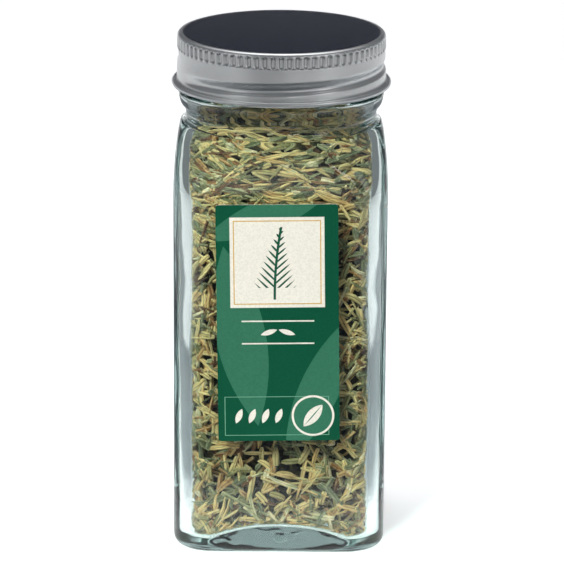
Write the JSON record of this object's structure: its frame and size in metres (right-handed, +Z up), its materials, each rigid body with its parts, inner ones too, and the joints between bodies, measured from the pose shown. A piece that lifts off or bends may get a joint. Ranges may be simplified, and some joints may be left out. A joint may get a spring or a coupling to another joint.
{
  "type": "glass spice jar of dried rosemary",
  "caption": "Square clear-glass spice jar with a round neck and a threaded metal screw lid, filled with dried rosemary leaves; one turn and a quarter of the lid frees it.",
  "frame": {"origin": "centre of the jar's base, on the surface it stands on", "axes": "+Z up along the jar and the lid's screw axis; the label faces -Y; +X to the right of the label"},
  "size_m": [0.0466, 0.0466, 0.1092],
  "materials": {
    "jar_glass": "clear, smooth, moulded",
    "lid_metal": "satin, bare, with a shinier flat top",
    "lid_liner": "white faced board",
    "label_print": "green print with a satin varnish",
    "herb_fill": "dry, matte, many loose leaves",
    "herb_leaf": "dry leaf, matte",
    "herb_stem": "dry woody stem, matte"
  },
  "bodies": {
    "jar": {"glass_jar": "jar_glass", "front_label": "label_print", "rosemary_fill": "herb_fill", "rosemary_leaf_01": "herb_leaf", "rosemary_leaf_02": "herb_leaf", "rosemary_leaf_03": "herb_leaf", "rosemary_leaf_04": "herb_leaf", "rosemary_leaf_05": "herb_leaf", "rosemary_leaf_06": "herb_leaf", "rosemary_leaf_07": "herb_leaf", "rosemary_leaf_08": "herb_leaf", "rosemary_leaf_09": "herb_leaf", "rosemary_leaf_10": "herb_leaf", "rosemary_leaf_11": "herb_leaf", "rosemary_leaf_12": "herb_leaf", "rosemary_leaf_13": "herb_leaf", "rosemary_leaf_14": "herb_leaf", "rosemary_leaf_15": "herb_leaf", "rosemary_leaf_16": "herb_leaf", "rosemary_leaf_17": "herb_leaf", "rosemary_leaf_18": "herb_leaf", "rosemary_leaf_19": "herb_leaf", "rosemary_leaf_20": "herb_leaf", "rosemary_leaf_21": "herb_leaf", "rosemary_leaf_22": "herb_leaf", "rosemary_leaf_23": "herb_leaf", "rosemary_leaf_24": "herb_leaf", "rosemary_leaf_25": "herb_leaf", "rosemary_leaf_26": "herb_leaf", "rosemary_leaf_27": "herb_leaf", "rosemary_leaf_28": "herb_leaf", "rosemary_leaf_29": "herb_leaf", "rosemary_leaf_30": "herb_leaf", "rosemary_leaf_31": "herb_leaf", "rosemary_leaf_32": "herb_leaf", "rosemary_leaf_33": "herb_leaf", "rosemary_leaf_34": "herb_leaf", "rosemary_leaf_35": "herb_leaf", "rosemary_leaf_36": "herb_leaf", "rosemary_leaf_37": "herb_leaf", "rosemary_leaf_38": "herb_leaf", "rosemary_leaf_39": "herb_leaf", "rosemary_leaf_40": "herb_leaf", "stem_bit_1": "herb_stem", "stem_bit_2": "herb_stem", "stem_bit_3": "herb_stem", "stem_bit_4": "herb_stem", "stem_bit_5": "herb_stem", "stem_bit_6": "herb_stem"},
    "liner": {"lid_liner": "lid_liner"},
    "lid": {"lid": "lid_metal"}
  },
  "joints": [
    {"name": "lid_rise", "type": "slide", "parent": "jar", "child": "liner", "axis": [0, 0, 1], "range_m": [0, 0.0053]},
    {"name": "lid_turn", "type": "hinge", "parent": "liner", "child": "lid", "pos_m": [0, 0, 0.1045], "axis": [0, 0, 1], "range_deg": [0, 450]}
  ],
  "couplings": [
    {"joint": "lid_rise", "follows": "lid_turn", "m_per_rad": 0.00067375}
  ]
}
